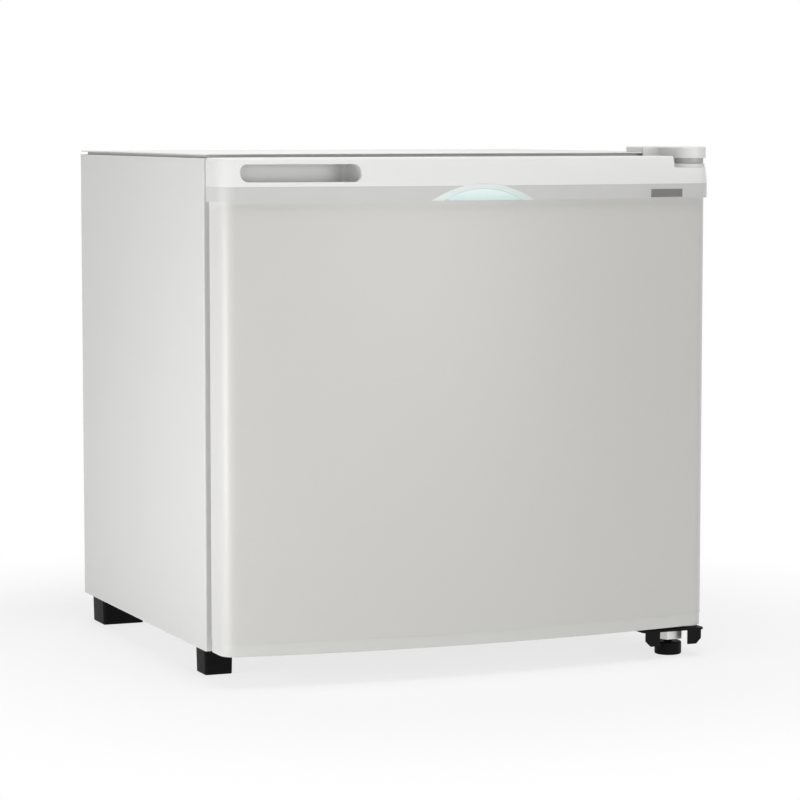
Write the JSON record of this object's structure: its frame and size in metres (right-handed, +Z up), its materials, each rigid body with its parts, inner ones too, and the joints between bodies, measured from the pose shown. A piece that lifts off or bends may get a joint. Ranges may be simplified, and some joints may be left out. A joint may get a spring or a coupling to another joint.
{
  "type": "mini fridge",
  "caption": "Free-standing cube mini fridge: insulated cabinet, right-hinged bowed door with a grip pocket, ice box with flap, wire shelf, compressor and rear condenser.",
  "frame": {"origin": "centre of the bounding box in plan, on the floor", "axes": "front of the door faces -Y, right is +X, up is +Z"},
  "size_m": [0.478, 0.4668, 0.4715],
  "materials": {
    "cabinet_paint": "satin",
    "worktop_white": "satin",
    "back_steel": "satin",
    "liner_plastic": "gloss",
    "foam": "matte",
    "door_paint": "satin",
    "cap_plastic": "satin",
    "gasket_pvc": "matte",
    "badge_frame": "gloss",
    "badge_aqua": "gloss",
    "bush_plastic": "matte",
    "rack_plastic": "gloss",
    "hinge_steel": "satin",
    "bracket_black": "satin",
    "cover_plastic": "satin",
    "foot_black": "matte",
    "evaporator_aluminium": "satin",
    "inner_plastic": "satin",
    "flap_plastic": "gloss",
    "tray_plastic": "gloss",
    "shelf_wire": "gloss",
    "control_metal": "satin",
    "knob_plastic": "satin",
    "copper": "polished",
    "compressor_black": "satin",
    "grommet_rubber": "matte",
    "pump_iron": "matte",
    "spring_steel": "satin"
  },
  "bodies": {
    "cabinet": {"back_panel": "back_steel", "base_pan": "cabinet_paint", "bottom_hinge_bracket": "bracket_black", "cabinet_foam": "foam", "capillary_tube": "copper", "compressor_base": "compressor_black", "compressor_bolts": "hinge_steel", "compressor_can": "compressor_black", "compressor_grommets": "grommet_rubber", "compressor_shelf": "back_steel", "condenser_brackets": "compressor_black", "condenser_screws": "hinge_steel", "condenser_tube": "compressor_black", "condenser_wires": "compressor_black", "cord_gland": "foot_black", "discharge_pipe": "copper", "filter_drier": "copper", "flap_ears": "inner_plastic", "front_left_foot": "foot_black", "hinge_pins": "hinge_steel", "hinge_screws": "hinge_steel", "ice_box": "evaporator_aluminium", "ice_box_hangers": "inner_plastic", "inner_liner": "liner_plastic", "level_nut": "hinge_steel", "process_tube": "copper", "pump_block": "pump_iron", "pump_springs": "spring_steel", "rear_feet": "foot_black", "recess_panel": "back_steel", "relay_cover": "foot_black", "sensing_tube": "copper", "shelf_rails": "liner_plastic", "side_panel_left": "cabinet_paint", "side_panel_right": "cabinet_paint", "suction_pipe": "copper", "thermostat_control": "control_metal", "thermostat_housing": "inner_plastic", "top_hinge_bracket": "hinge_steel", "top_hinge_cover": "cover_plastic", "top_sheet": "cabinet_paint", "tray_runners": "inner_plastic", "worktop": "worktop_white"},
    "door": {"door_panel": "door_paint", "door_foam": "foam", "door_top_cap": "cap_plastic", "door_bottom_cap": "cap_plastic", "badge_rim": "badge_frame", "badge_inlay": "badge_aqua", "door_liner": "liner_plastic", "door_gasket": "gasket_pvc", "hinge_bushes": "bush_plastic", "rack_lugs": "liner_plastic", "lower_rack": "rack_plastic", "upper_rack": "rack_plastic"},
    "flap": {"freezer_flap": "flap_plastic"},
    "tray": {"drip_tray": "tray_plastic"},
    "shelf": {"wire_shelf": "shelf_wire"},
    "knob": {"thermostat_knob": "knob_plastic"},
    "foot": {"level_foot": "foot_black"}
  },
  "joints": [
    {"name": "door_swing", "type": "hinge", "parent": "cabinet", "child": "door", "pos_m": [0.224, -0.1946, 0.2461], "axis": [0, 0, 1], "range_deg": [0, 125]},
    {"name": "flap_swing", "type": "hinge", "parent": "cabinet", "child": "flap", "pos_m": [-0.0315, -0.0616, 0.407], "axis": [-1, 0, 0], "range_deg": [0, 85]},
    {"name": "tray_slide", "type": "slide", "parent": "cabinet", "child": "tray", "axis": [0, -1, 0], "range_m": [0, 0.07]},
    {"name": "shelf_slide", "type": "slide", "parent": "cabinet", "child": "shelf", "axis": [0, -1, 0], "range_m": [0, 0.046]},
    {"name": "knob_turn", "type": "hinge", "parent": "cabinet", "child": "knob", "pos_m": [0.154, -0.0617, 0.394], "axis": [0, 1, 0], "range_deg": [0, 270]},
    {"name": "foot_turn", "type": "hinge", "parent": "cabinet", "child": "foot", "pos_m": [0.21, -0.1866, 0.012], "axis": [0, 0, 1], "continuous": true}
  ]
}
